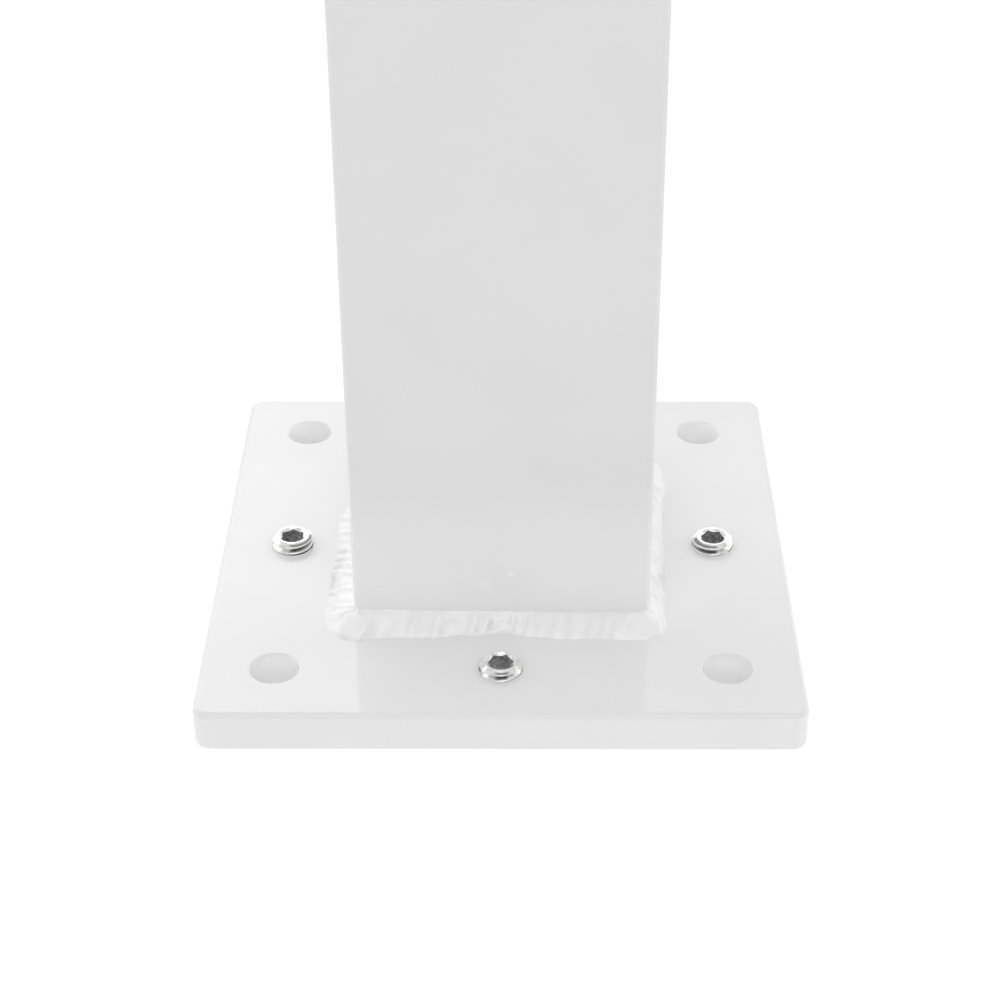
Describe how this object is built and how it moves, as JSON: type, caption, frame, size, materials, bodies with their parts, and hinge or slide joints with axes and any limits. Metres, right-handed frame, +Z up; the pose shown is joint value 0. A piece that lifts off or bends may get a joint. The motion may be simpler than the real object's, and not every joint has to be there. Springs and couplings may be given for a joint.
{
  "type": "stair post",
  "caption": "White powder-coated railing post for stairs: a square tube welded to a square base plate with corner bolt holes and hex-socket leveling set screws.",
  "frame": {"origin": "middle of the base plate's underside", "axes": "+Z up along the post, -Y the side that the picture shows in front, +X to the right in the picture"},
  "size_m": [0.127, 0.127, 1.0668],
  "materials": {
    "base_plate": "gloss white powder coat",
    "post_tube": "gloss white powder coat",
    "weld_bead": "gloss white powder coat over a rippled weld",
    "post_cap": "gloss white powder coat",
    "leveling_screw": "bright stainless"
  },
  "bodies": {
    "root": {"base_plate": "base_plate", "post_tube": "post_tube", "weld_bead": "weld_bead", "post_cap": "post_cap", "leveling_screw_front": "leveling_screw", "leveling_screw_left": "leveling_screw", "leveling_screw_right": "leveling_screw", "leveling_screw_back": "leveling_screw"}
  },
  "joints": []
}
